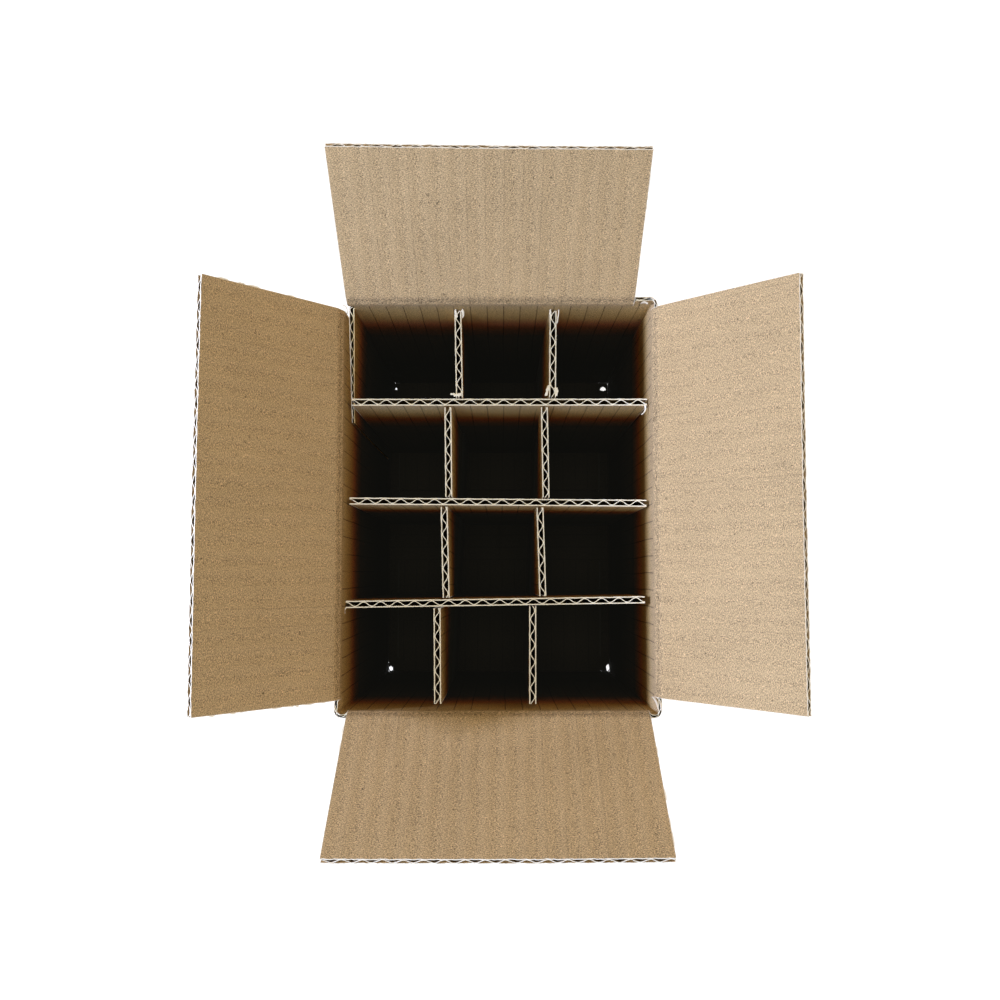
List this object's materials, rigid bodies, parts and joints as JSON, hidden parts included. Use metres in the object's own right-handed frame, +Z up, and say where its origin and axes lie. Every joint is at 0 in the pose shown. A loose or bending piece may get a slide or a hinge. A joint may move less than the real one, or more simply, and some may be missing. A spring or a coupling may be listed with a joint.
{
  "type": "bottle shipping box",
  "caption": "Open-topped corrugated board carton with four hinged top flaps and a slotted divider grid that keeps upright bottles apart.",
  "frame": {"origin": "centre of the base, on the underside of the sealing tape, which is what the box stands on", "axes": "+Z up through the open top, +Y along the box's long side away from the viewer, +X across it to the viewer's right"},
  "size_m": [0.2072, 0.2402, 0.2193],
  "materials": {
    "kraft_board": "matte, uncoated kraft liner",
    "divider_board": "matte, uncoated kraft liner, pale cut edges",
    "paper_tape": "smooth kraft paper, slight sheen"
  },
  "bodies": {
    "box": {"carton": "kraft_board", "bottom_tape": "paper_tape", "divider_long_left": "divider_board", "divider_long_right": "divider_board", "divider_cross_far": "divider_board", "divider_cross_middle": "divider_board", "divider_cross_near": "divider_board"},
    "left_flap": {"flap_left": "kraft_board"},
    "right_flap": {"flap_right": "kraft_board"},
    "far_flap": {"flap_far": "kraft_board"},
    "near_flap": {"flap_near": "kraft_board"}
  },
  "joints": [
    {"name": "left_flap_fold", "type": "hinge", "parent": "box", "child": "left_flap", "pos_m": [-0.06095, 0, 0.174], "axis": [0, -1, 0], "range_deg": [-133.6, 116.4]},
    {"name": "right_flap_fold", "type": "hinge", "parent": "box", "child": "right_flap", "pos_m": [0.06095, 0, 0.174], "axis": [0, 1, 0], "range_deg": [-137.1, 112.9]},
    {"name": "far_flap_fold", "type": "hinge", "parent": "box", "child": "far_flap", "pos_m": [0, 0.07945, 0.1711], "axis": [-1, 0, 0], "range_deg": [-133.9, 116.1]},
    {"name": "near_flap_fold", "type": "hinge", "parent": "box", "child": "near_flap", "pos_m": [0, -0.07945, 0.1711], "axis": [1, 0, 0], "range_deg": [-131.4, 118.6]}
  ]
}
